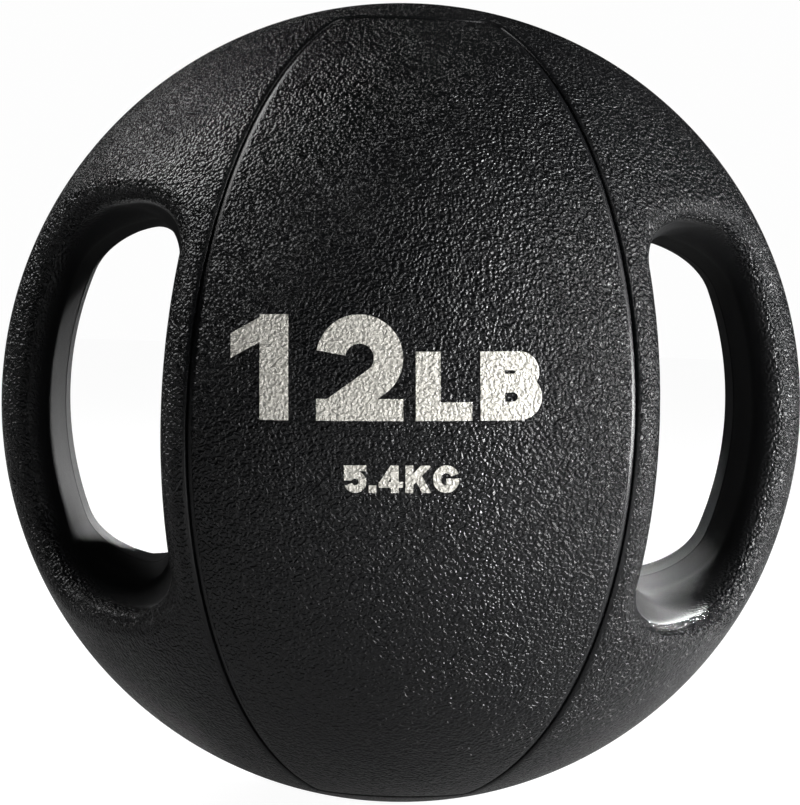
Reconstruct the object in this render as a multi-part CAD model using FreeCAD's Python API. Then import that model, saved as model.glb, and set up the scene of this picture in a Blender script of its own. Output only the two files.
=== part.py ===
"""Dual-grip medicine ball: a thick-walled rubber ball with a hand hole through each side.

The ball stands with its poles on Z, its printed front towards -Y and its two handles at -X and +X.
The origin is the centre of the ball. Every length is in millimetres.

The ball is built in layers, like a real moulded ball: an outer cover in two halves that meet at
the parting plane y = 0, a curved panel let into the front and into the back, a thick rubber core,
an air bladder, and a solid grip core inside each handle. A valve goes through the back.
"""
import FreeCAD, Part
import math
import os
from FreeCAD import Vector

# ---- the whole ball
ball_radius = 137.5
far = 1.2 * ball_radius

# ---- layers, from the outside in
cover_thickness = 4.0
bond_gap = 0.1
core_thickness = 15.0
bladder_thickness = 1.8
core_outer = cover_thickness + bond_gap
core_inner = core_outer + core_thickness
bladder_outer = core_inner + bond_gap
bladder_inner = bladder_outer + bladder_thickness

# ---- hand holes: a wall on the ball's side, and a flared ceiling and floor
wall_x = 0.60 * ball_radius
wall_draft = 0.067
wall_bow_radius = 2.0 * ball_radius
ceiling_z = 0.415 * ball_radius
ceiling_flare = 0.069
inner_corner_radius = 0.09 * ball_radius
root_fillet = 12.0

# ---- handles: a band around the y axis, thickest where the moulds meet
grip_inner_radius = 0.848 * ball_radius
grip_nose_start = 0.860 * ball_radius
grip_nose_radius = 0.060 * ball_radius
grip_half_depth = 0.253 * ball_radius
grip_sweep = 60.0
grip_core_half_height = 70.0
pocket_reach = 1.05 * ball_radius

# ---- where the edges lie that run from a handle into the hole's ceiling and floor
root_z = 1.01 * ceiling_z
root_z_slack = 0.04 * ball_radius
root_start_x = 0.66 * ball_radius
root_end_x = 0.99 * ball_radius
root_rise = 0.12 * ball_radius

# ---- front and back panels: 60 degrees wide, cut off short of the poles
panel_half_angle = 29.0
panel_end_z = 0.925 * ball_radius
panel_gap = 0.3

# ---- strips of rubber that a cover half is laid up from
cap_start_z = 0.37 * ball_radius
grip_middle_z = 0.15 * ball_radius
grip_strip_x = 0.68 * ball_radius

# ---- valve, through the middle of the back
boot_radius = 7.0
boot_clearance = 0.05
boot_flange_radius = 12.0
boot_flange_thickness = 2.0
boot_floor = 3.0
boot_recess = 0.5
boot_hole_start = 0.5 * ball_radius
valve_radius = 3.2
valve_clearance = 0.05
valve_length = 19.0
valve_recess = 1.0
needle_radius = 1.05
needle_depth = 14.0

# ---- weight mark, printed on the front panel
ink_depth = 0.4
mark_tilt = 1.9
pound_centre = -7.9
pound_base = 1.8
digit_height = 30.5
digit_stroke = 0.275
digit_widths = (0.555, 0.82)
digit_gaps = (8.0, 3.6)
unit_height = 19.8
unit_stroke = 0.36
unit_widths = (0.82, 0.91)
unit_gaps = (2.4, 0.0)
small_centre = -3.5
small_base = -19.0
small_height = 8.0
small_stroke = 0.28
small_widths = (0.80, 0.27, 0.87, 0.94, 0.93)
small_gaps = (0.7, 0.7, 0.7, 0.5, 0.0)
thin_share = 0.75
least_bow_radius = 0.01


def block(x0, x1, y0, y1, z0, z1):
    """A box between two corners."""
    return Part.makeBox(x1 - x0, y1 - y0, z1 - z0, Vector(x0, y0, z0))


def mirrored(shape):
    """The same shape on the other side of the ball, left for right."""
    return shape.mirror(Vector(0, 0, 0), Vector(1, 0, 0))


def half(shape, side):
    """The front (side = -1) or back (side = +1) of a shape, cut at the parting plane."""
    y0, y1 = (-far, 0) if side < 0 else (0, far)
    return shape.common(block(-far, far, y0, y1, -far, far))


# ---------------------------------------------------------------- hand holes and handles
def hole_outline(y, grow):
    """Outline of the hand hole's pocket at depth y, open towards the outside of the ball."""
    wall = wall_x - wall_draft * abs(y) - grow
    ceiling = ceiling_z + ceiling_flare * abs(y) + grow
    bow = wall_bow_radius - grow
    corner = inner_corner_radius + grow
    bow_x = wall - bow
    corner_z = ceiling - corner
    corner_x = bow_x + math.sqrt((bow + corner) ** 2 - corner_z**2)
    meet = math.atan2(corner_z, corner_x - bow_x)
    meet_x = bow_x + bow * math.cos(meet)
    meet_z = bow * math.sin(meet)
    middle = (math.pi + meet + math.pi / 2) / 2
    mid_x = corner_x + corner * math.cos(middle)
    mid_z = corner_z + corner * math.sin(middle)

    def at(x, z):
        return Vector(x, y, z)

    return Part.Wire(
        [
            Part.Arc(at(meet_x, -meet_z), at(wall, 0), at(meet_x, meet_z)).toShape(),
            Part.Arc(at(meet_x, meet_z), at(mid_x, mid_z), at(corner_x, ceiling)).toShape(),
            Part.LineSegment(at(corner_x, ceiling), at(far, ceiling)).toShape(),
            Part.LineSegment(at(far, ceiling), at(far, -ceiling)).toShape(),
            Part.LineSegment(at(far, -ceiling), at(corner_x, -ceiling)).toShape(),
            Part.Arc(at(corner_x, -ceiling), at(mid_x, -mid_z), at(meet_x, -meet_z)).toShape(),
        ]
    )


def pocket(grow):
    """The pocket that both hand-hole halves make, with draft away from the parting plane."""
    depths = (-pocket_reach, 0, pocket_reach)
    return Part.makeLoft([hole_outline(y, grow) for y in depths], True, True)


def grip_band(shrink):
    """The handle: a D-shaped section turned about the y axis, made smaller all round by shrink."""
    inner = grip_inner_radius + shrink
    start = grip_nose_start + shrink
    nose = grip_nose_radius - shrink
    depth = grip_half_depth - shrink
    flat = depth - nose
    quarter = nose * math.sqrt(0.5)
    bend_x = start + nose - quarter
    bend_y = flat + quarter
    section = Part.Wire(
        [
            Part.LineSegment(Vector(start, -flat, 0), Vector(inner, 0, 0)).toShape(),
            Part.LineSegment(Vector(inner, 0, 0), Vector(start, flat, 0)).toShape(),
            Part.Arc(
                Vector(start, flat, 0), Vector(bend_x, bend_y, 0), Vector(start + nose, depth, 0)
            ).toShape(),
            Part.LineSegment(Vector(start + nose, depth, 0), Vector(far, depth, 0)).toShape(),
            Part.LineSegment(Vector(far, depth, 0), Vector(far, -depth, 0)).toShape(),
            Part.LineSegment(Vector(far, -depth, 0), Vector(start + nose, -depth, 0)).toShape(),
            Part.Arc(
                Vector(start + nose, -depth, 0), Vector(bend_x, -bend_y, 0), Vector(start, -flat, 0)
            ).toShape(),
        ]
    )
    face = Part.Face(section)
    face.rotate(Vector(0, 0, 0), Vector(0, 1, 0), grip_sweep)
    return face.revolve(Vector(0, 0, 0), Vector(0, 1, 0), -2 * grip_sweep)


def is_grip_root(edge):
    """True for the edges where the handle runs into the hole's ceiling or floor."""
    centre = edge.CenterOfMass
    level = abs(abs(centre.z) - root_z) < root_z_slack
    beside_grip = root_start_x < centre.x < root_end_x
    return level and beside_grip and edge.BoundBox.ZLength < root_rise


def hand_hole(grow, fillet):
    """What the right-hand hole takes away: the pocket less the handle that crosses it."""
    space = pocket(grow).cut(grip_band(grow)).Solids[0]
    if fillet:
        roots = [edge for edge in space.Edges if is_grip_root(edge)]
        space = space.makeFillet(root_fillet, roots)
    return space


def ball_shape(inset, fillet=False):
    """The whole ball with its handles, made smaller all round by inset."""
    space = hand_hole(inset, fillet)
    return Part.makeSphere(ball_radius - inset).cut(space).cut(mirrored(space))


def hollow_shape(inset):
    """The ball's hollow at depth inset: it stays clear of both hand holes and both handles."""
    space = pocket(inset)
    return Part.makeSphere(ball_radius - inset).cut(space).cut(mirrored(space))


# ---------------------------------------------------------------- cover, panels and core
def lune(side, gap):
    """The wedge that holds a panel, made wider and longer by gap, in front or behind."""
    angle = math.radians(panel_half_angle)
    tip_y = side * -gap / math.sin(angle)
    reach = 2 * ball_radius
    corner_x = reach * math.sin(angle)
    corner_y = tip_y + side * reach * math.cos(angle)
    end_z = panel_end_z + gap
    corners = [
        Vector(0, tip_y, -end_z),
        Vector(corner_x, corner_y, -end_z),
        Vector(-corner_x, corner_y, -end_z),
        Vector(0, tip_y, -end_z),
    ]
    return Part.Face(Part.makePolygon(corners)).extrude(Vector(0, 0, 2 * end_z))


def cover_strips(cover):
    """A cover half as the strips of rubber it is laid up from, which butt together.

    Both columns round the handles have five strips and the column between them has three.
    """
    handle_rows = [-far, -cap_start_z, -grip_middle_z, grip_middle_z, cap_start_z, far]
    middle_rows = [-far, -cap_start_z, cap_start_z, far]
    columns = [
        (-far, -grip_strip_x, handle_rows),
        (-grip_strip_x, grip_strip_x, middle_rows),
        (grip_strip_x, far, handle_rows),
    ]
    strips = []
    for x0, x1, rows in columns:
        for z0, z1 in zip(rows, rows[1:], strict=False):
            strips.extend(cover.common(block(x0, x1, -far, far, z0, z1)).Solids)
    return Part.makeCompound(strips)


def make_cover(skin, side):
    """Half of the outer cover, with the handle halves and the window for the panel."""
    return cover_strips(half(skin, side).cut(half(lune(side, panel_gap), side)))


def make_panel(skin, side):
    """The curved panel that fills the window of a cover half."""
    return half(skin, side).common(lune(side, 0.0))


def make_grip_core():
    """The solid rubber insert of the right-hand handle, with both ends let into the core."""
    band = grip_band(core_outer).common(Part.makeSphere(ball_radius - core_outer))
    height = grip_core_half_height
    return band.common(block(0, far, -far, far, -height, height))


def make_core_half(wall, grip_cores, side):
    """Half of the thick rubber core, with the notches that take the grip cores."""
    return half(wall, side).cut(grip_cores[0]).cut(grip_cores[1])


def make_bladder():
    """The thin air bladder that lines the core."""
    return hollow_shape(bladder_outer).cut(hollow_shape(bladder_inner))


# ---------------------------------------------------------------- valve
def rod(radius, y0, y1):
    """A round rod along the y axis."""
    return Part.makeCylinder(radius, y1 - y0, Vector(0, y0, 0), Vector(0, 1, 0))


def boot_hole():
    """The hole for the valve boot through the back of the ball."""
    return rod(boot_radius + boot_clearance, boot_hole_start, far)


def make_valve_boot():
    """The rubber sleeve through the back wall, with a flange against the bladder's inside."""
    inner_y = ball_radius - bladder_inner - boot_flange_thickness
    tip_y = ball_radius - valve_recess - valve_length - boot_floor
    sleeve = rod(boot_radius, tip_y, far)
    flange = rod(boot_flange_radius, tip_y, inner_y + boot_flange_thickness)
    body = sleeve.fuse(flange).common(Part.makeSphere(ball_radius - boot_recess))
    flange_room = hollow_shape(bladder_inner).fuse(rod(boot_radius, inner_y, far))
    bore_y = ball_radius - valve_recess - valve_length - valve_clearance
    return body.common(flange_room).cut(rod(valve_radius + valve_clearance, bore_y, far))


def make_valve_core():
    """The self-sealing valve core, with the guide hole for a pump needle."""
    outer_y = ball_radius - valve_recess
    core = rod(valve_radius, outer_y - valve_length, outer_y)
    return core.cut(rod(needle_radius, outer_y - needle_depth, far))


# ---------------------------------------------------------------- weight mark
def bar(start, end, width):
    """A straight stroke between two points of the letter's grid."""
    along_x = end[0] - start[0]
    along_z = end[1] - start[1]
    length = math.hypot(along_x, along_z)
    side_x = -along_z / length * width / 2
    side_z = along_x / length * width / 2
    corners = [
        Vector(start[0] + side_x, 0, start[1] + side_z),
        Vector(end[0] + side_x, 0, end[1] + side_z),
        Vector(end[0] - side_x, 0, end[1] - side_z),
        Vector(start[0] - side_x, 0, start[1] - side_z),
    ]
    return Part.Face(Part.makePolygon(corners + corners[:1]))


def bow(centre, radius, start, end, width):
    """A round stroke, turned anticlockwise from the start angle to the end angle."""

    def at(reach, degrees):
        angle = math.radians(degrees)
        return Vector(centre[0] + reach * math.cos(angle), 0, centre[1] + reach * math.sin(angle))

    inner = max(radius - width / 2, least_bow_radius)
    outer = radius + width / 2
    middle = (start + end) / 2
    return Part.Face(
        Part.Wire(
            [
                Part.Arc(at(outer, start), at(outer, middle), at(outer, end)).toShape(),
                Part.LineSegment(at(outer, end), at(inner, end)).toShape(),
                Part.Arc(at(inner, end), at(inner, middle), at(inner, start)).toShape(),
                Part.LineSegment(at(inner, start), at(outer, start)).toShape(),
            ]
        )
    )


def bowl(left, right, low, high, thick, thin):
    """A closed round-ended ring, as in a B: thick at its right end, thin above and below."""

    def round_end(x, z0, z1):
        radius = (z1 - z0) / 2
        middle_x = x - radius
        return Part.Face(
            Part.Wire(
                [
                    Part.LineSegment(Vector(left, 0, z0), Vector(middle_x, 0, z0)).toShape(),
                    Part.Arc(
                        Vector(middle_x, 0, z0), Vector(x, 0, z0 + radius), Vector(middle_x, 0, z1)
                    ).toShape(),
                    Part.LineSegment(Vector(middle_x, 0, z1), Vector(left, 0, z1)).toShape(),
                    Part.LineSegment(Vector(left, 0, z1), Vector(left, 0, z0)).toShape(),
                ]
            )
        )

    return round_end(right, low, high).cut(round_end(right - thick, low + thin, high - thin))


def glyph_strokes(name, width, stroke):
    """The strokes of one plain figure or letter, one unit high, with thinner level strokes."""
    thin = thin_share * stroke
    low = thin / 2
    high = 1 - low
    left = stroke / 2
    right = width - stroke / 2
    radius = (width - stroke) / 2
    if name == "1":
        over = 0.3
        flag_slope = 0.55
        flag_height = 0.70
        foot = flag_height - over * flag_slope
        return [
            bar((right, 0), (right, 1), stroke),
            bar((-over, foot), (right, foot + (right + over) * flag_slope), thin),
        ]
    if name == "2":
        centre = (width / 2, 1 - width / 2)
        leave = -52
        angle = math.radians(leave)
        end = (centre[0] + radius * math.cos(angle), centre[1] + radius * math.sin(angle))
        return [
            bow(centre, radius, leave, 170, stroke),
            bar(end, (left, 0.6 * low), stroke),
            bar((0, low), (width, low), thin),
        ]
    if name == "4":
        post = width - 1.05 * stroke
        cross = 0.30
        return [
            bar((post, 0), (post, 1), stroke),
            bar((0, cross), (width, cross), thin),
            bar((0.4 * stroke, cross), (post, 1.0), 0.9 * stroke),
        ]
    if name == "5":
        centre = (width / 2, width / 2)
        neck = 0.45
        return [
            bar((left, high), (width, high), thin),
            bar((left, neck), (left, 1), stroke),
            bow(centre, radius, -160, 140, stroke),
        ]
    if name == ".":
        return [bar((0, stroke / 2), (width, stroke / 2), stroke)]
    if name == "L":
        return [bar((left, 0), (left, 1), stroke), bar((0, low), (width, low), thin)]
    if name == "B":
        waist = 0.54
        upper_setback = 0.04
        return [
            bar((left, 0), (left, 1), stroke),
            bowl(left, width - upper_setback, waist - low, 1, stroke, thin),
            bowl(left, width, 0, waist + low, stroke, thin),
        ]
    if name == "K":
        over = 0.05
        return [
            bar((left, 0), (left, 1), stroke),
            bar((left, 0.35), (right, 1 + over), stroke),
            bar((0.45 * width, 0.62), (right, -over), stroke),
        ]
    step_height = 0.52
    bar_height = step_height - low
    upper = (width / 2, 1 - width / 2)
    lower = (width / 2, width / 2)
    return [
        bow(upper, radius, 20, 180, stroke),
        bar((left, upper[1]), (left, lower[1]), stroke),
        bow(lower, radius, 180, 360, stroke),
        bar((right, lower[1]), (right, step_height), stroke),
        bar((width / 2, bar_height), (width, bar_height), thin),
    ]


def place_glyph(name, width, stroke, height, left, base):
    """A prism of one letter through the front of the ball, at its size and place."""
    prisms = []
    for area in glyph_strokes(name, width, stroke):
        area.scale(height)
        prisms.append(area.extrude(Vector(0, far, 0)))
    joined = prisms[0].multiFuse(prisms[1:]).removeSplitter()
    letter = joined.common(block(0, width * height, 0, far, 0, height))
    letter.translate(Vector(left, -far, base))
    letter.rotate(Vector(0, 0, 0), Vector(0, 1, 0), -mark_tilt)
    return letter


def make_mark(letters):
    """The ink of a row of letters, flush with the panel and ink_depth thick."""
    layer = half(Part.makeSphere(ball_radius).cut(Part.makeSphere(ball_radius - ink_depth)), -1)
    solids = []
    for letter in letters:
        solids.extend(layer.common(place_glyph(*letter)).Solids)
    return Part.makeCompound(solids)


def row_of_letters(words, centre, base):
    """One line of print: each word gives its text, height, stroke, letter widths and gaps."""
    letters = []
    x = 0.0
    for text, height, stroke, widths, gaps in words:
        for name, width, gap in zip(text, widths, gaps, strict=True):
            letters.append((name, width, stroke, height, x, base))
            x += width * height + gap
    shift = centre - x / 2
    return [letter[:4] + (letter[4] + shift, letter[5]) for letter in letters]


def pound_letters():
    """The large figure 12 and its smaller unit."""
    figures = ("12", digit_height, digit_stroke, digit_widths, digit_gaps)
    unit = ("LB", unit_height, unit_stroke, unit_widths, unit_gaps)
    return row_of_letters([figures, unit], pound_centre, pound_base)


def kilogram_letters():
    """The small figure 5.4 and its unit."""
    line = ("5.4KG", small_height, small_stroke, small_widths, small_gaps)
    return row_of_letters([line], small_centre, small_base)


# ---------------------------------------------------------------- all the pieces
def make_parts():
    """Every piece of the ball by name."""
    outer = ball_shape(0.0, fillet=True)
    skin = outer.cut(ball_shape(cover_thickness))
    right_core = make_grip_core()
    grip_cores = [right_core, mirrored(right_core)]
    wall = ball_shape(core_outer).cut(hollow_shape(core_inner))
    valve_way = boot_hole()
    pounds = make_mark(pound_letters())
    kilograms = make_mark(kilogram_letters())
    return {
        "front_cover": make_cover(skin, -1),
        "back_cover": make_cover(skin, 1),
        "front_panel": make_panel(skin, -1).cut(pounds).cut(kilograms),
        "back_panel": make_panel(skin, 1).cut(valve_way),
        "front_core_half": make_core_half(wall, grip_cores, -1),
        "back_core_half": make_core_half(wall, grip_cores, 1).cut(valve_way),
        "left_grip_core": grip_cores[1],
        "right_grip_core": grip_cores[0],
        "bladder": make_bladder().cut(valve_way),
        "valve_boot": make_valve_boot(),
        "valve_core": make_valve_core(),
        "weight_mark_pounds": pounds,
        "weight_mark_kilograms": kilograms,
    }


def main():
    os.makedirs("parts", exist_ok=True)
    for name, shape in make_parts().items():
        shape.exportStep(os.path.join("parts", name + ".step"))
        size = shape.BoundBox
        print(
            f"{name:24s} valid {shape.isValid()} solids {len(shape.Solids)} "
            f"volume {shape.Volume / 1000:.2f} cm3 "
            f"size {size.XLength:.1f} x {size.YLength:.1f} x {size.ZLength:.1f}"
        )


main()
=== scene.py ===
"""The looks of a dual-grip rubber medicine ball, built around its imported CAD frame.

The ball's skin is one smooth formula: a sphere, less a drafted hand hole on each side, plus the
handle bands that cross the holes, with every edge rounded. The formula is meshed once for an
eighth of the ball, mirrored, and trimmed along the panel seams and the mould's parting plane.
All lengths are in metres.
"""
import math

import bmesh
import bpy
import numpy as np
from mathutils import Matrix, Vector


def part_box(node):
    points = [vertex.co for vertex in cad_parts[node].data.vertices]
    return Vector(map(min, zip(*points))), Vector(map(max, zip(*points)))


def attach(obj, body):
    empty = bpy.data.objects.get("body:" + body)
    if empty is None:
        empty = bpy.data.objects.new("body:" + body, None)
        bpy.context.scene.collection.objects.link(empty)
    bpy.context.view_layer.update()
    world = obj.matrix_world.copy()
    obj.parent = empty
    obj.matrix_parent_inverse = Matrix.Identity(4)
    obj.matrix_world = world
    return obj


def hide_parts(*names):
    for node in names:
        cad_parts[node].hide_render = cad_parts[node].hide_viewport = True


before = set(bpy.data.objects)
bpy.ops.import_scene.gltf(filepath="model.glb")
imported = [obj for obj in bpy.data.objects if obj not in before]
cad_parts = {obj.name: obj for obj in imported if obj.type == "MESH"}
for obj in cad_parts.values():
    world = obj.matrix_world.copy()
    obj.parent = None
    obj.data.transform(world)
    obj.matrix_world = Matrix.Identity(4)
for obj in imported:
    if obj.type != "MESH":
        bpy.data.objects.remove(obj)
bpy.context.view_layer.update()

MM = 0.001

# ---- sizes, from the frame's own ball radius
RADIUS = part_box("front_cover")[1].z
SKIN = RADIUS - 0.30 * MM
CELL = 1.7 * MM
COVER_DEPTH = 3.4 * MM
PANEL_DEPTH = 2.4 * MM

# ---- hand holes and handles, as in the CAD part
WALL_X = 0.596 * RADIUS
WALL_DRAFT = 0.067
WALL_BOW = 2.0 * RADIUS
CEILING_Z = 0.430 * RADIUS
CEILING_FLARE = 0.069
CORNER = 0.085 * RADIUS
SHOULDER_CORNER = 0.13 * RADIUS
TUNNEL_ROOT = 17.0 * MM
SHOULDER_ROOT = 26.0 * MM
GRIP_INNER = 0.848 * RADIUS
GRIP_DRAFT = 0.062
GRIP_DEPTH = 0.253 * RADIUS
NOSE = 0.070 * RADIUS
WALL_RIM = 4.5 * MM
NOSE_RIM = 12.0 * MM
CEILING_RIM = 9.0 * MM

# ---- where one rounding changes into the next, each from its start to its end
SHOULDER_SPAN = (0.15 * RADIUS, 0.33 * RADIUS)
NOSE_SPAN = (0.66 * RADIUS, 0.82 * RADIUS)
CEILING_RISE = (0.22 * RADIUS, 0.42 * RADIUS)
CEILING_REACH = (0.50 * RADIUS, 0.72 * RADIUS)

# ---- panel seam, parting line and valve hole; a lip's rows are distance and depth in mm
PANEL_ANGLE = math.radians(29.0)
PANEL_END = 0.925 * RADIUS
PANEL_CORNER = 5.0 * MM
PANEL_EDGE = 2.6 * MM
PANEL_LIP = [(2.1, 0.06), (1.6, 0.20), (1.1, 0.38), (0.65, 0.56), (0.32, 0.74), (0.18, 1.1)]
PANEL_LIP += [(0.12, 1.9)]
COVER_EDGE = 1.25 * MM
COVER_LIP = [(0.9, 0.03), (0.6, 0.10), (0.35, 0.24), (0.2, 0.5), (0.12, 1.0), (0.1, 1.9)]
PARTING_EDGE = 0.9 * MM
PARTING_LIP = [(0.6, -0.02), (0.35, -0.09), (0.15, -0.13), (0.0, -0.12)]
VALVE_EDGE = 1.0 * MM
VALVE_LIP = [(0.6, 0.04), (0.3, 0.15), (0.1, 0.4), (0.0, 0.9), (0.0, 1.6)]
BOOT_RADIUS = 7.0 * MM
BOOT_GAP = 0.15 * MM

# ---- print
INK_SLICE = 2.0 * MM
INK_ROOT = 0.3 * MM
INK_DEPTH = 0.4 * MM
SHARP_ANGLE = math.radians(35)

# ---- camera: a long lens, a little above and to the left of the ball
CAMERA_DISTANCE = 5.5 * RADIUS
CAMERA_YAW = math.radians(1.62)
CAMERA_PITCH = math.radians(2.92)
CAMERA_ROLL = math.radians(1.9)
CAMERA_LENS = 96.85
CAMERA_SIDE = -0.35 * MM

# ---- colours and finish
COVER_TONE = (0.0060, 0.0063, 0.0070)
COVER_GLOSS = 0.20
SMOOTH_GLOSS = 0.80
GRAIN_PITCH = 1.45 * MM
GRAIN_WAVES = 1.45
GRAIN_HEIGHT = 0.75 * MM
INNER_TONE = (0.020, 0.020, 0.020)
COVER_SHINE = 0.25
PRINT_TONE = (0.90, 0.87, 0.79)
INNER_GLOSS = 0.6
INNER_GRAIN = 0.05 * MM

# ---- where the grain fades: down into the hand holes, and in a band along the seam
HOLLOW_SPAN = (4 * MM, 14 * MM)
PLAIN_MIDDLE = 0.6 * MM
PLAIN_SPAN = (1.5 * MM, 2.3 * MM)

# ---- noise cells to the metre, for the finer and slower changes of the surface
SWELL_SCALE = 90.0
SMUDGE_SCALE = 26.0
PORE_SCALE = 5200.0
PORE_SHARE = 0.08
INK_PATCH_SCALE = 300.0

# ---- stage
FLOOR_TONE = (0.22, 0.22, 0.22)
FLOOR_GLOW = 0.965
FLOOR_FILL = 0.12
FLOOR_REACH = 6.0
FLOOR_GAP = 0.2 * MM
ROOM_GLOW = 0.012
BACKDROP_GLOW = 0.985
STUDIO_REACH = 1.3
WASH_HEIGHT = 0.25
WASH_SPREAD = 70


# ------------------------------------------------------------------ the ball's formula
def rounded_overlap(a, b, radius):
    """Distance to where two shapes overlap, with the edge between them rounded off."""
    flat = np.minimum(np.maximum(a, b), -radius)
    return flat + np.hypot(np.maximum(a + radius, 0), np.maximum(b + radius, 0))


def smooth_step(value, start, end):
    """0 before start, 1 after end, and a smooth rise between them."""
    t = np.clip((value - start) / (end - start), 0, 1)
    return t * t * (3 - 2 * t)


def hand_hole(points):
    """Distance to the hand holes, negative in the open space round each handle."""
    x, y, z = np.abs(points).T
    bow_x = WALL_X - WALL_DRAFT * y - WALL_BOW
    to_wall = WALL_BOW - np.hypot(x - bow_x, z)
    to_ceiling = z - CEILING_Z - CEILING_FLARE * y
    at_shoulder = smooth_step(y, *SHOULDER_SPAN)
    corner = CORNER + (SHOULDER_CORNER - CORNER) * at_shoulder
    pocket = rounded_overlap(to_wall, to_ceiling, corner)
    to_inner = GRIP_INNER + GRIP_DRAFT * y - np.hypot(x, z)
    band = rounded_overlap(to_inner, y - GRIP_DEPTH, NOSE)
    root = TUNNEL_ROOT + (SHOULDER_ROOT - TUNNEL_ROOT) * at_shoulder
    return rounded_overlap(pocket, -band, root)


def ball(points):
    """Distance to the ball's skin, negative inside the rubber."""
    x, y, z = np.abs(points).T
    to_nose = smooth_step(x, *NOSE_SPAN)
    to_ceiling = smooth_step(z, *CEILING_RISE)
    to_ceiling *= smooth_step(x, *CEILING_REACH)
    rim = WALL_RIM + (NOSE_RIM - WALL_RIM) * to_nose
    rim = rim + (CEILING_RIM - rim) * to_ceiling
    sphere = np.linalg.norm(points, axis=1) - SKIN
    return rounded_overlap(sphere, -hand_hole(points), rim)


def seam(points):
    """Distance from the panel's edge along the skin, negative on the panel."""
    x, y, z = np.abs(points).T
    to_side = x * math.cos(PANEL_ANGLE) - y * math.sin(PANEL_ANGLE)
    level = np.sqrt(np.maximum(1 - (PANEL_END / SKIN) ** 2, 0))
    to_end = (z - PANEL_END) / level
    return rounded_overlap(to_side, to_end, PANEL_CORNER)


def parting(points):
    """Distance in front of the mould's parting plane."""
    return -points[:, 1]


def valve_ring(points):
    """Distance outside the valve boot's rim."""
    return np.hypot(points[:, 0], points[:, 2]) - BOOT_RADIUS - BOOT_GAP


def gradient(field, points):
    """The direction in which a formula grows, one row for each point."""
    step = 0.02 * MM
    rows = []
    for axis in np.eye(3) * step:
        rows.append((field(points + axis) - field(points - axis)) / (2 * step))
    return np.stack(rows, axis=1)


def unit_gradient(field, points):
    """The direction in which a formula grows, one unit row for each point."""
    slope = gradient(field, points)
    return slope / np.linalg.norm(slope, axis=1)[:, None]


def settle(points, field, rounds=5):
    """The points moved onto the surface where the formula is zero."""
    for _ in range(rounds):
        slope = gradient(field, points)
        size = np.maximum((slope**2).sum(axis=1), 0.05)
        points = points - slope * (field(points) / size)[:, None]
    return points


# ------------------------------------------------------------------ meshing the formula
def shifted(array, axis, first, last):
    """A slice of an array along one axis."""
    cut = [slice(None)] * array.ndim
    cut[axis] = slice(first, last)
    return array[tuple(cut)]


def surface_net(field, low, high, cell):
    """Points and quads of the surface where the formula is zero, one point in each grid cell."""
    axes = [np.arange(a, b + cell, cell) for a, b in zip(low, high, strict=True)]
    grid = np.stack(np.meshgrid(*axes, indexing="ij"), axis=-1)
    values = field(grid.reshape(-1, 3)).reshape(grid.shape[:3])
    cells = tuple(n - 1 for n in values.shape)
    total = np.zeros(cells + (3,))
    count = np.zeros(cells)
    crossings = []
    for axis in range(3):
        a = shifted(values, axis, 0, -1)
        b = shifted(values, axis, 1, None)
        crossing = (a < 0) != (b < 0)
        share = np.where(crossing, a / np.where(crossing, a - b, 1), 0)
        place = shifted(grid, axis, 0, -1).copy()
        place[..., axis] += share * cell
        place *= crossing[..., None]
        u, v = (axis + 1) % 3, (axis + 2) % 3
        for du in (0, 1):
            for dv in (0, 1):
                near = shifted(shifted(place, u, du, cells[u] + du), v, dv, cells[v] + dv)
                hit = shifted(shifted(crossing, u, du, cells[u] + du), v, dv, cells[v] + dv)
                total += near
                count += hit
        crossings.append((axis, crossing, a < 0))
    number = np.full(cells, -1)
    used = count > 0
    number[used] = np.arange(used.sum())
    points = total[used] / count[used][:, None]
    quads = []
    for axis, crossing, inside in crossings:
        u, v = (axis + 1) % 3, (axis + 2) % 3
        where = np.argwhere(crossing)
        keep = (where[:, u] > 0) & (where[:, v] > 0)
        keep &= (where[:, u] < cells[u]) & (where[:, v] < cells[v])
        where = where[keep]
        corners = []
        for du, dv in ((1, 1), (0, 1), (0, 0), (1, 0)):
            corner = where.copy()
            corner[:, u] -= du
            corner[:, v] -= dv
            corners.append(number[tuple(corner.T)])
        quad = np.stack(corners, axis=1)
        outward = inside[tuple(where.T)]
        quads.append(np.where(outward[:, None], quad, quad[:, ::-1]))
    return points, np.concatenate(quads)


def relaxed(points, quads, field, rounds=6):
    """The points evened out along the surface, so that the quads are regular."""
    edges = np.concatenate([quads[:, [i, (i + 1) % 4]] for i in range(4)])
    links = np.bincount(edges.ravel(), minlength=len(points))
    for _ in range(rounds):
        total = np.zeros_like(points)
        np.add.at(total, edges[:, 0], points[edges[:, 1]])
        np.add.at(total, edges[:, 1], points[edges[:, 0]])
        move = total / links[:, None] - points
        normal = unit_gradient(field, points)
        move -= normal * (move * normal).sum(axis=1)[:, None]
        points = settle(points + 0.6 * move, field, rounds=1)
    return settle(points, field)


def all_points(bm):
    """The mesh's points as rows of numbers."""
    return np.array([v.co[:] for v in bm.verts])


def place_points(bm, rows):
    """Moves the mesh's points to the given rows."""
    for vert, row in zip(bm.verts, rows, strict=True):
        vert.co = row


def axis_normal(axis):
    """The unit vector along one axis."""
    return Vector([1.0 if i == axis else 0.0 for i in range(3)])


def add_object(bm, name):
    """A named object in the scene with the mesh that was being built."""
    mesh = bpy.data.meshes.new(name)
    bm.to_mesh(mesh)
    bm.free()
    made = bpy.data.objects.new(name, mesh)
    bpy.context.scene.collection.objects.link(made)
    return made


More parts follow.
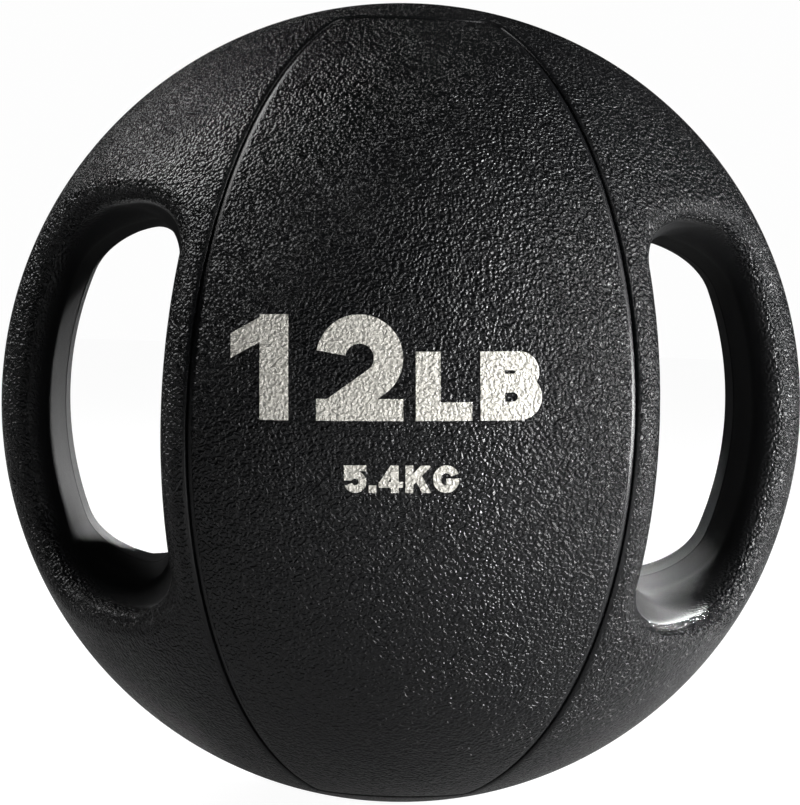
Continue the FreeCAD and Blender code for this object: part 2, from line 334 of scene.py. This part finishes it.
def mirror_onto(bm, axis):
    """Adds the mirror image across the plane through the origin, joined at that plane."""
    made = bmesh.ops.duplicate(bm, geom=bm.verts[:] + bm.edges[:] + bm.faces[:])["geom"]
    for vert in (g for g in made if isinstance(g, bmesh.types.BMVert)):
        vert.co[axis] = -vert.co[axis]
    flipped = [g for g in made if isinstance(g, bmesh.types.BMFace)]
    bmesh.ops.reverse_faces(bm, faces=flipped)
    on_plane = [v for v in bm.verts if abs(v.co[axis]) < 0.001 * MM]
    bmesh.ops.remove_doubles(bm, verts=on_plane, dist=0.01 * MM)


def cut_at_plane(bm, axis):
    """Keeps the side of the mesh where the coordinate is positive."""
    near = 0.25 * CELL
    for vert in bm.verts:
        if abs(vert.co[axis]) < near:
            vert.co[axis] = 0.0
    geom = bm.verts[:] + bm.edges[:] + bm.faces[:]
    bmesh.ops.bisect_plane(
        bm,
        geom=geom,
        plane_co=(0, 0, 0),
        plane_no=axis_normal(axis),
        dist=0.001 * MM,
        clear_inner=True,
    )
    for vert in bm.verts:
        if abs(vert.co[axis]) < 0.002 * MM:
            vert.co[axis] = 0.0


def front_skin():
    """The skin of the whole front of the ball, and a little past the parting plane."""
    margin = 2 * CELL
    low = (-margin, -RADIUS - margin, -margin)
    high = (RADIUS + margin, margin, RADIUS + margin)
    points, quads = surface_net(ball, low, high, CELL)
    points = relaxed(points, quads, ball)
    mesh = bpy.data.meshes.new("skin")
    mesh.from_pydata(points.tolist(), [], quads.tolist())
    bm = bmesh.new()
    bm.from_mesh(mesh)
    bpy.data.meshes.remove(mesh)
    for axis in (0, 2):
        cut_at_plane(bm, axis)
        mirror_onto(bm, axis)
    return bm


# ------------------------------------------------------------------ trimming and rolling edges
def trim(bm, field, level):
    """Cuts the mesh where the formula equals level, and keeps the side where it is more."""

    def above(points):
        return field(points) - level

    points = all_points(bm)
    values = above(points)
    near = np.abs(values) < 0.22 * CELL
    for _ in range(3):
        slope = gradient(above, points[near])
        size = (slope**2).sum(axis=1)
        points[near] -= slope * (above(points[near]) / size)[:, None]
        points[near] = settle(points[near], ball, rounds=1)
    place_points(bm, points)
    values[near] = 0.0
    side = {vert: value for vert, value in zip(bm.verts, values, strict=True)}
    for edge in bm.edges[:]:
        a, b = edge.verts
        if side[a] * side[b] < 0:
            share = side[a] / (side[a] - side[b])
            vert = bmesh.utils.edge_split(edge, a, share)[1]
            side[vert] = 0.0
    for face in bm.faces[:]:
        on_cut = [v for v in face.verts if side[v] == 0.0]
        if len(on_cut) == 2 and any(side[v] > 0 for v in face.verts):
            joined = any(set(edge.verts) == set(on_cut) for edge in face.edges)
            if not joined and any(side[v] < 0 for v in face.verts):
                bmesh.utils.face_split(face, on_cut[0], on_cut[1])
    gone = [f for f in bm.faces if sum(side[v] for v in f.verts) <= 0]
    bmesh.ops.delete(bm, geom=gone, context="FACES")
    rim = [v for v in bm.verts if v.is_boundary and side[v] == 0.0]
    return rim


def roll(bm, rim, field, rows):
    """Adds strips beyond a trimmed edge: each row is a distance to the edge and a depth, in mm."""
    edges = [e for e in bm.edges if e.is_boundary and all(v in rim for v in e.verts)]
    order = {vert: i for i, vert in enumerate(rim)}
    start = np.array([v.co[:] for v in rim])
    for distance, depth in rows:
        target = distance * MM
        points = start.copy()
        for _ in range(4):
            slope = gradient(field, points)
            normal = unit_gradient(ball, points)
            slope -= normal * (slope * normal).sum(axis=1)[:, None]
            size = np.maximum((slope**2).sum(axis=1), 0.05)
            points = points - slope * ((field(points) - target) / size)[:, None]
            points = settle(points, ball, rounds=1)
        points = points - unit_gradient(ball, points) * depth * MM
        made = bmesh.ops.extrude_edge_only(bm, edges=edges)["geom"]
        fresh = {g for g in made if isinstance(g, bmesh.types.BMVert)}
        edges = [g for g in made if isinstance(g, bmesh.types.BMEdge)]
        following = {}
        for vert in fresh:
            old = [e.other_vert(vert) for e in vert.link_edges]
            old = next(v for v in old if v in order)
            following[vert] = order[old]
        for vert, i in following.items():
            vert.co = points[i]
        order = following


def finished_piece(bm, node, thickness=COVER_DEPTH):
    """A closed piece from a trimmed skin, with how grained and how deep in a hole each point is."""
    bmesh.ops.recalc_face_normals(bm, faces=bm.faces[:])
    piece = add_object(bm, node + "_skin")
    mesh = piece.data
    points = np.array([v.co[:] for v in mesh.vertices])
    hollow = smooth_step(SKIN - np.linalg.norm(points, axis=1), *HOLLOW_SPAN)
    grain = (1 - hollow) * smooth_step(np.abs(seam(points) + PLAIN_MIDDLE), *PLAIN_SPAN)
    for name, values in (("grain", grain), ("hollow", hollow)):
        layer = mesh.attributes.new(name, "FLOAT", "POINT")
        layer.data.foreach_set("value", values.astype(np.float32))
    for polygon in mesh.polygons:
        polygon.use_smooth = True
    shell = piece.modifiers.new("thickness", "SOLIDIFY")
    shell.thickness = thickness
    shell.offset = -1.0
    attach(piece, "ball")
    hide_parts(node)
    return piece


def to_back(bm):
    """Turns a front skin into the matching back one."""
    for vert in bm.verts:
        vert.co.y = -vert.co.y
    bmesh.ops.reverse_faces(bm, faces=bm.faces[:])


def make_cover(skin, node, back):
    """A cover half: both handles' halves, and a window with a rolled edge for the panel."""
    bm = skin.copy()
    rim = trim(bm, seam, COVER_EDGE)
    roll(bm, rim, seam, COVER_LIP)
    rim = trim(bm, parting, PARTING_EDGE)
    roll(bm, rim, parting, PARTING_LIP)
    if back:
        to_back(bm)
    return finished_piece(bm, node)


def off_panel(points):
    """Distance inside the panel's edge."""
    return -seam(points)


def make_panel(skin, node, back):
    """A centre panel with a rolled edge, and the valve's hole in the back one."""
    bm = skin.copy()
    rim = trim(bm, off_panel, PANEL_EDGE)
    roll(bm, rim, off_panel, PANEL_LIP)
    if back:
        rim = trim(bm, valve_ring, VALVE_EDGE)
        roll(bm, rim, valve_ring, VALVE_LIP)
        to_back(bm)
    return finished_piece(bm, node, thickness=PANEL_DEPTH)


# ------------------------------------------------------------------ print
def make_ink(node):
    """The print of one line of figures, laid on the panel with the CAD letters' outline."""
    bm = bmesh.new()
    bm.from_mesh(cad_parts[node].data)
    bmesh.ops.remove_doubles(bm, verts=bm.verts[:], dist=0.001 * MM)
    low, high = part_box(node)
    for axis in (0, 2):
        normal = axis_normal(axis)
        for place in np.arange(low[axis] + 0.7 * INK_SLICE, high[axis], INK_SLICE):
            geom = bm.verts[:] + bm.edges[:] + bm.faces[:]
            bmesh.ops.bisect_plane(
                bm, geom=geom, plane_co=normal * float(place), plane_no=normal, dist=0.002 * MM
            )
    for vert in bm.verts:
        up = max(0.0, min(1.0, (vert.co.length - RADIUS + INK_DEPTH) / INK_DEPTH))
        vert.co = vert.co.normalized() * (SKIN - INK_ROOT + up * INK_DEPTH)
    for edge in bm.edges:
        edge.smooth = len(edge.link_faces) == 2 and edge.calc_face_angle() < SHARP_ANGLE
    for face in bm.faces:
        face.smooth = True
    piece = add_object(bm, node + "_ink")
    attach(piece, "ball")
    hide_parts(node)
    return piece


# ------------------------------------------------------------------ materials
def node_tools(name):
    """A new material with its nodes, and helpers that add and link nodes."""
    material = bpy.data.materials.new(name)
    material.use_nodes = True
    tree = material.node_tree
    shader = tree.nodes["Principled BSDF"]

    def add(kind, **values):
        made = tree.nodes.new(kind)
        for key, value in values.items():
            if key in made.inputs:
                made.inputs[key].default_value = value
            else:
                setattr(made, key, value)
        return made

    return material, tree, shader, add


def math_node(tree, add, operation, a, b):
    """A maths node whose inputs are sockets or numbers."""
    made = add("ShaderNodeMath", operation=operation)
    for socket, value in zip(made.inputs, (a, b), strict=False):
        if isinstance(value, bpy.types.NodeSocket):
            tree.links.new(value, socket)
        else:
            socket.default_value = value
    return made.outputs[0]


def noise(tree, add, place, scale, detail=2.0, roughness=0.5, distortion=0.0):
    """Noise with that many cells to the metre."""
    made = add(
        "ShaderNodeTexNoise", Scale=scale, Detail=detail, Roughness=roughness, Distortion=distortion
    )
    tree.links.new(place, made.inputs["Vector"])
    return made.outputs["Fac"]


def ranged(tree, add, value, low, high, to_low, to_high, ease="SMOOTHSTEP"):
    """A value fitted from one range into another, smoothly or in a straight line."""
    made = add("ShaderNodeMapRange", interpolation_type=ease)
    tree.links.new(value, made.inputs["Value"])
    numbers = {"From Min": low, "From Max": high, "To Min": to_low, "To Max": to_high}
    for key, number in numbers.items():
        made.inputs[key].default_value = number
    return made.outputs[0]


def colour_mix(tree, add, share, first, second):
    """A blend of two colours."""
    made = add("ShaderNodeMix", data_type="RGBA")
    tree.links.new(share, made.inputs["Factor"])
    made.inputs[6].default_value = (*first, 1)
    made.inputs[7].default_value = (*second, 1)
    return made.outputs[2]


def pebbles(tree, add, place):
    """The wrinkled grain of the rubber: short curved ridges, from 0 in the creases to 1 on top."""
    wave = noise(tree, add, place, GRAIN_WAVES / GRAIN_PITCH, detail=0.0, distortion=0.6)
    return ranged(tree, add, wave, 0.28, 0.72, 0.0, 1.0, ease="LINEAR")


def rubber(name, tone, gloss, grain_height, use_mask):
    """Black moulded rubber: pebble grain, fine pores, and slow changes of sheen and tone."""
    material, tree, shader, add = node_tools(name)
    place = add("ShaderNodeTexCoord").outputs["Object"]
    height = pebbles(tree, add, place)
    swell = ranged(tree, add, noise(tree, add, place, SWELL_SCALE), 0.3, 0.7, 0.75, 1.0)
    height = math_node(tree, add, "MULTIPLY", height, swell)
    smudge = noise(tree, add, place, SMUDGE_SCALE, detail=4.0, roughness=0.6)
    sheen = ranged(tree, add, smudge, 0.3, 0.7, gloss - 0.04, gloss + 0.06)
    if use_mask:
        grained = add("ShaderNodeAttribute", attribute_name="grain").outputs["Fac"]
        height = math_node(tree, add, "MULTIPLY", height, grained)
        hollow = add("ShaderNodeAttribute", attribute_name="hollow").outputs["Fac"]
        dulled = ranged(tree, add, hollow, 0.2, 1.0, 0.0, SMOOTH_GLOSS - gloss)
        sheen = math_node(tree, add, "ADD", sheen, dulled)
    tree.links.new(sheen, shader.inputs["Roughness"])
    pores = noise(tree, add, place, PORE_SCALE, detail=1.0)
    pores = math_node(tree, add, "MULTIPLY", pores, PORE_SHARE)
    height = math_node(tree, add, "ADD", height, pores)
    bump = add("ShaderNodeBump", Strength=1.0, Distance=grain_height)
    tree.links.new(height, bump.inputs["Height"])
    tree.links.new(bump.outputs["Normal"], shader.inputs["Normal"])
    darker = tuple(0.72 * c for c in tone)
    tree.links.new(colour_mix(tree, add, smudge, darker, tone), shader.inputs["Base Color"])
    shader.inputs["Specular IOR Level"].default_value = COVER_SHINE
    return material


def ink(name, tone):
    """Ivory screen print that follows the grain, with painted shade darkening it in its creases."""
    material, tree, shader, add = node_tools(name)
    place = add("ShaderNodeTexCoord").outputs["Object"]
    height = pebbles(tree, add, place)
    bump = add("ShaderNodeBump", Strength=1.0, Distance=0.9 * GRAIN_HEIGHT)
    tree.links.new(height, bump.inputs["Height"])
    tree.links.new(bump.outputs["Normal"], shader.inputs["Normal"])
    # painted shade: the print's colour is darkened to 0.8 of its tone down in the grain's creases
    painted_crease_shade = tuple(0.80 * c for c in tone)
    tree.links.new(colour_mix(tree, add, height, painted_crease_shade, tone), shader.inputs["Base Color"])
    patch = noise(tree, add, place, INK_PATCH_SCALE, detail=3.0)
    dull = ranged(tree, add, patch, 0.3, 0.7, 0.30, 0.42)
    tree.links.new(dull, shader.inputs["Roughness"])
    return material


def floor_paint():
    """A plain pale floor, lit from below like a light table, and near white to the camera."""
    material, tree, shader, add = node_tools("pale_floor")
    shader.inputs["Base Color"].default_value = (*FLOOR_TONE, 1)
    shader.inputs["Roughness"].default_value = 0.9
    shader.inputs["Specular IOR Level"].default_value = 0.0
    shader.inputs["Emission Color"].default_value = (1, 1, 1, 1)
    seen = add("ShaderNodeLightPath").outputs["Is Camera Ray"]
    glow = ranged(tree, add, seen, 0.0, 1.0, FLOOR_FILL, FLOOR_GLOW)
    tree.links.new(glow, shader.inputs["Emission Strength"])
    return material


def paint(piece, material):
    """Gives a piece one material."""
    piece.data.materials.clear()
    piece.data.materials.append(material)


# ------------------------------------------------------------------ stage, lights and camera
def make_floor():
    """A pale round floor that reaches the horizon."""
    bm = bmesh.new()
    bmesh.ops.create_circle(bm, cap_ends=True, segments=96, radius=FLOOR_REACH)
    floor = add_object(bm, "floor")
    floor.location.z = -RADIUS - FLOOR_GAP
    paint(floor, floor_paint())


def around(azimuth, reach, height):
    """A place round the ball: azimuth 0 is in front and 90 is at the right."""
    side = math.radians(azimuth)
    return Vector((reach * math.sin(side), -reach * math.cos(side), height))


def soft_light(name, place, size, power, aim=(0, 0, 0), spread=180):
    """A soft box that faces the ball, or another point."""
    data = bpy.data.lights.new(name, "AREA")
    data.shape = "RECTANGLE"
    data.size, data.size_y = size
    data.energy = power
    data.spread = math.radians(spread)
    light = bpy.data.objects.new(name, data)
    light.location = place
    light.rotation_euler = (Vector(aim) - Vector(place)).to_track_quat("-Z", "Y").to_euler()
    light.visible_camera = False
    bpy.context.scene.collection.objects.link(light)


def floor_wash(name, x, y, size, power):
    """A soft box that faces straight down and lights only the floor."""
    soft_light(name, (x, y, WASH_HEIGHT), size, power, aim=(x, y, -1), spread=WASH_SPREAD)


def make_lights():
    """Tall soft boxes at the right with light off the floor, one box behind at the left, two small
    ones above, and a narrow one at the back that shows the valve."""
    soft_light("front_right_strip", around(58, STUDIO_REACH, 0.5), (0.2, 1.2), 14.5)
    soft_light("right_strip", around(92, STUDIO_REACH, 0.5), (0.2, 1.2), 9.5)
    soft_light("right_box", around(90, STUDIO_REACH, 0.09), (0.25, 0.2), 6.0)
    soft_light("low_right_box", around(80, 0.8, -0.03), (0.25, 0.12), 7.5)
    floor_wash("right_wash", 0.48, -0.15, (0.45, 0.5), 6.0)
    floor_wash("front_wash", 0.12, -0.45, (0.5, 0.3), 6.0)
    soft_light("left_back_box", around(-128, STUDIO_REACH, 0.95), (0.9, 0.6), 10.5)
    soft_light("valve_box", around(170, 0.8, 0.3), (0.1, 0.1), 0.5, aim=(0, 0.1, 0), spread=16)
    soft_light("upper_box", around(30, 0.7, 1.21), (0.3, 0.3), 0.9)
    soft_light("upper_left_box", around(-35, 0.9, 1.07), (0.3, 0.3), 0.7)


def make_backdrop():
    """White behind the ball where the camera sees it, and a dim room for everything else."""
    world = bpy.data.worlds.new("studio")
    bpy.context.scene.world = world
    world.use_nodes = True
    tree = world.node_tree
    background = tree.nodes["Background"]
    background.inputs["Color"].default_value = (1, 1, 1, 1)
    seen = tree.nodes.new("ShaderNodeLightPath").outputs["Is Camera Ray"]
    strength = tree.nodes.new("ShaderNodeMapRange")
    strength.inputs["To Min"].default_value = ROOM_GLOW
    strength.inputs["To Max"].default_value = BACKDROP_GLOW
    tree.links.new(seen, strength.inputs["Value"])
    tree.links.new(strength.outputs[0], background.inputs["Strength"])


def make_camera():
    """A camera at the ball's front, level with it but a little high, left and rolled."""
    yaw = Matrix.Rotation(CAMERA_YAW, 3, "Z")
    pitch = Matrix.Rotation(CAMERA_PITCH, 3, "X")
    roll_turn = Matrix.Rotation(CAMERA_ROLL, 3, "Y")
    turn = roll_turn @ pitch @ yaw
    right, forward, up = turn
    place = right * CAMERA_SIDE - forward * CAMERA_DISTANCE
    data = bpy.data.cameras.new("camera")
    data.lens = CAMERA_LENS
    camera = bpy.data.objects.new("camera", data)
    columns = Matrix((right, up, -forward)).transposed()
    camera.matrix_world = Matrix.Translation(place) @ columns.to_4x4()
    bpy.context.scene.collection.objects.link(camera)
    bpy.context.scene.camera = camera


# ------------------------------------------------------------------ put it together
INNER_NODES = ("front_core_half", "back_core_half", "left_grip_core", "right_grip_core")
INNER_NODES += ("bladder", "valve_boot", "valve_core")

skin = front_skin()
cover_black = rubber("cover_black", COVER_TONE, COVER_GLOSS, GRAIN_HEIGHT, True)
inner_black = rubber("inner_black", INNER_TONE, INNER_GLOSS, INNER_GRAIN, False)
print_ivory = ink("print_ivory", PRINT_TONE)
for side_name, is_back in (("front", False), ("back", True)):
    paint(make_cover(skin, side_name + "_cover", is_back), cover_black)
    paint(make_panel(skin, side_name + "_panel", is_back), cover_black)
skin.free()
for mark in ("weight_mark_pounds", "weight_mark_kilograms"):
    paint(make_ink(mark), print_ivory)
for node in INNER_NODES:
    paint(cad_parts[node], inner_black)
make_floor()
make_lights()
make_backdrop()
make_camera()
bpy.context.scene.view_settings.view_transform = "Standard"
